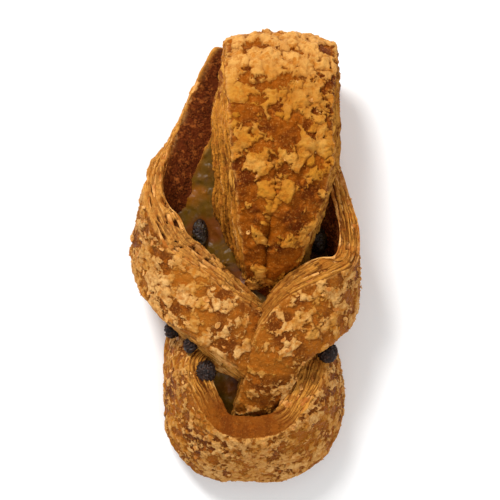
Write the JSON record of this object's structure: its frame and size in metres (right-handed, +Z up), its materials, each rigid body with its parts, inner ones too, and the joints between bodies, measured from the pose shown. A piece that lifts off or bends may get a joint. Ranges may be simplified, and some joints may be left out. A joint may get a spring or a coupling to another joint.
{
  "type": "braided loaf",
  "caption": "Small braided loaf of laminated yeast dough: a broad tongue over two crossing strips and a foot loop, with custard and raisins in the gaps",
  "frame": {"origin": "under the middle of the loaf's outline, on the flat baked underside", "axes": "+Z up out of the baking tray, +Y along the loaf towards the tongue end, +X to the right when looking down with the tongue end away"},
  "size_m": [0.082, 0.16, 0.046],
  "materials": {
    "crust": null,
    "raisin": "dark wrinkled dried fruit, slightly sticky sheen"
  },
  "bodies": {
    "root": {"braided_dough": "crust", "raisin_left_edge": "raisin", "raisin_left_gap_upper": "raisin", "raisin_left_gap": "raisin", "raisin_left_valley": "raisin", "raisin_right_valley": "raisin", "raisin_right_gap": "raisin"}
  },
  "joints": []
}
